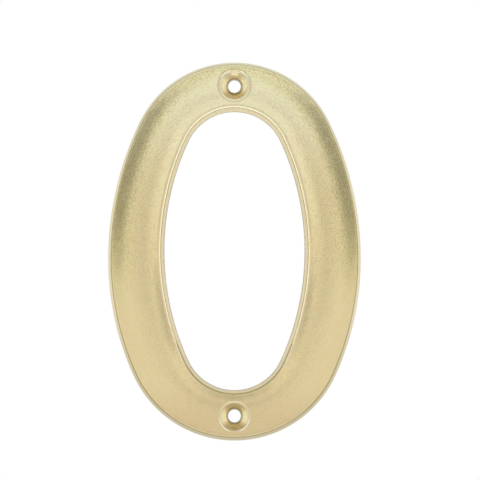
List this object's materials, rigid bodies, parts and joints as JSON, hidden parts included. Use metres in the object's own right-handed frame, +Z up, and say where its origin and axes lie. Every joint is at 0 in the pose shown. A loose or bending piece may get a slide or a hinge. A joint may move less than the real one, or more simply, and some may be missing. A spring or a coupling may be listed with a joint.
{
  "type": "brass door number",
  "caption": "House number zero for a door: an upright oval ring with a crowned face, a flat back and countersunk screw holes at its top and bottom.",
  "frame": {"origin": "on the flat back, midway between the two screw holes", "axes": "+Z up the numeral, +X to the right as it is read, +Y out of the back into the door"},
  "size_m": [0.0668, 0.004, 0.1],
  "materials": {
    "cast_brass": "polished pale brass, lightly buffed"
  },
  "bodies": {
    "root": {"numeral_zero": "cast_brass"}
  },
  "joints": []
}
